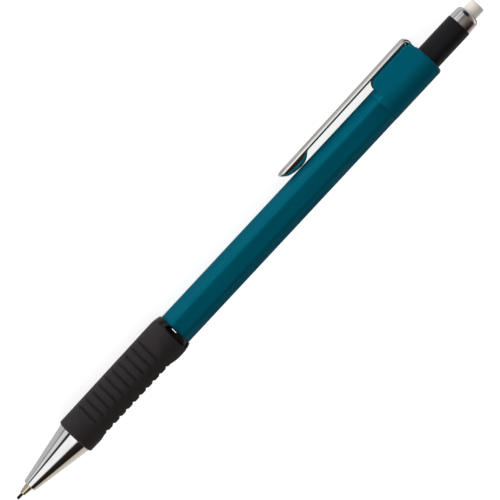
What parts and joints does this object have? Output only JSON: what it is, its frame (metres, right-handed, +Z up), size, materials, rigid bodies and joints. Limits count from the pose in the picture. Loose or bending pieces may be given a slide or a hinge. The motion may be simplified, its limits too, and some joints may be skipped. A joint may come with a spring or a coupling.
{
  "type": "mechanical pencil",
  "caption": "Push-button mechanical pencil with hexagonal barrel, ribbed rubber grip, chromed cone, steel pocket clip and a twist-out eraser that doubles as the button.",
  "frame": {"origin": "middle of the pencil's bounding box on the surface it lies on", "axes": "+X along the pencil towards the lead point, +Z up, the clip towards -Y and below the axis"},
  "size_m": [0.148, 0.0118, 0.0099],
  "materials": {
    "graphite": "grey-black polymer graphite with a dull sheen",
    "nickel": "turned brass with a pale nickel plating",
    "retainer_rubber": "soft black rubber",
    "chrome": "polished chrome plating",
    "brass": "bright turned brass",
    "spring_steel": "drawn spring wire",
    "natural_plastic": "milky natural plastic",
    "black_gloss": "glossy black moulding",
    "grip_rubber": "matt warm-black grip rubber",
    "teal_gloss": "deep teal gloss moulding",
    "clip_steel": "polished stamped steel strip",
    "black_satin": "satin black moulding",
    "eraser_vinyl": "soft off-white vinyl eraser"
  },
  "bodies": {
    "body": {"barrel": "teal_gloss", "clip_housing": "teal_gloss", "grip_core": "black_gloss", "grip_sleeve": "grip_rubber", "tip_cone": "chrome", "clutch_sleeve": "brass"},
    "pocket_clip": {"clip": "clip_steel"},
    "nozzle": {"tip_nozzle": "nickel", "lead_retainer": "retainer_rubber"},
    "lead_in_use": {"lead": "graphite"},
    "push_unit": {"chuck": "brass", "chuck_connector": "natural_plastic", "lead_reservoir": "natural_plastic", "spare_leads": "graphite", "return_spring": "spring_steel"},
    "closing_ring": {"clutch_ring": "brass"},
    "eraser_unit": {"guide_tube": "black_satin"},
    "twist_knob": {"twist_sleeve": "black_satin", "end_ferrule": "chrome"},
    "eraser_slider": {"eraser": "eraser_vinyl", "eraser_carrier": "natural_plastic"}
  },
  "joints": [
    {"name": "push_slide", "type": "slide", "parent": "body", "child": "push_unit", "axis": [1, 0, 0], "range_m": [0, 0.0035], "stiffness_N_per_m": 700, "springref_m": -0.002, "deforming": ["return_spring"]},
    {"name": "ring_slide", "type": "slide", "parent": "body", "child": "closing_ring", "axis": [1, 0, 0], "range_m": [0, 0.0007]},
    {"name": "nozzle_slide", "type": "slide", "parent": "body", "child": "nozzle", "axis": [-1, 0, 0], "range_m": [0, 0.0023]},
    {"name": "lead_slide", "type": "slide", "parent": "body", "child": "lead_in_use", "axis": [1, 0, 0], "range_m": [-0.0015, 0.005]},
    {"name": "eraser_pull", "type": "slide", "parent": "push_unit", "child": "eraser_unit", "axis": [-1, 0, 0], "range_m": [0, 0.032]},
    {"name": "eraser_twist", "type": "hinge", "parent": "eraser_unit", "child": "twist_knob", "pos_m": [-0.063, 0.00102, 0.00502], "axis": [1, 0, 0], "range_deg": [-133, 723]},
    {"name": "eraser_slide", "type": "slide", "parent": "eraser_unit", "child": "eraser_slider", "axis": [-1, 0, 0], "range_m": [-0.0027, 0.015]},
    {"name": "clip_flex", "type": "hinge", "parent": "body", "child": "pocket_clip", "pos_m": [-0.0565, -0.00385, 0.00221], "axis": [0, 0.5, -0.866], "range_deg": [0, 2], "stiffness_Nm_per_rad": 1.2, "springref_deg": -1.15}
  ],
  "couplings": [
    {"joint": "ring_slide", "follows": "push_slide", "ratio": 0.2},
    {"joint": "eraser_twist", "follows": "eraser_slide", "rad_per_m": 837.76}
  ]
}
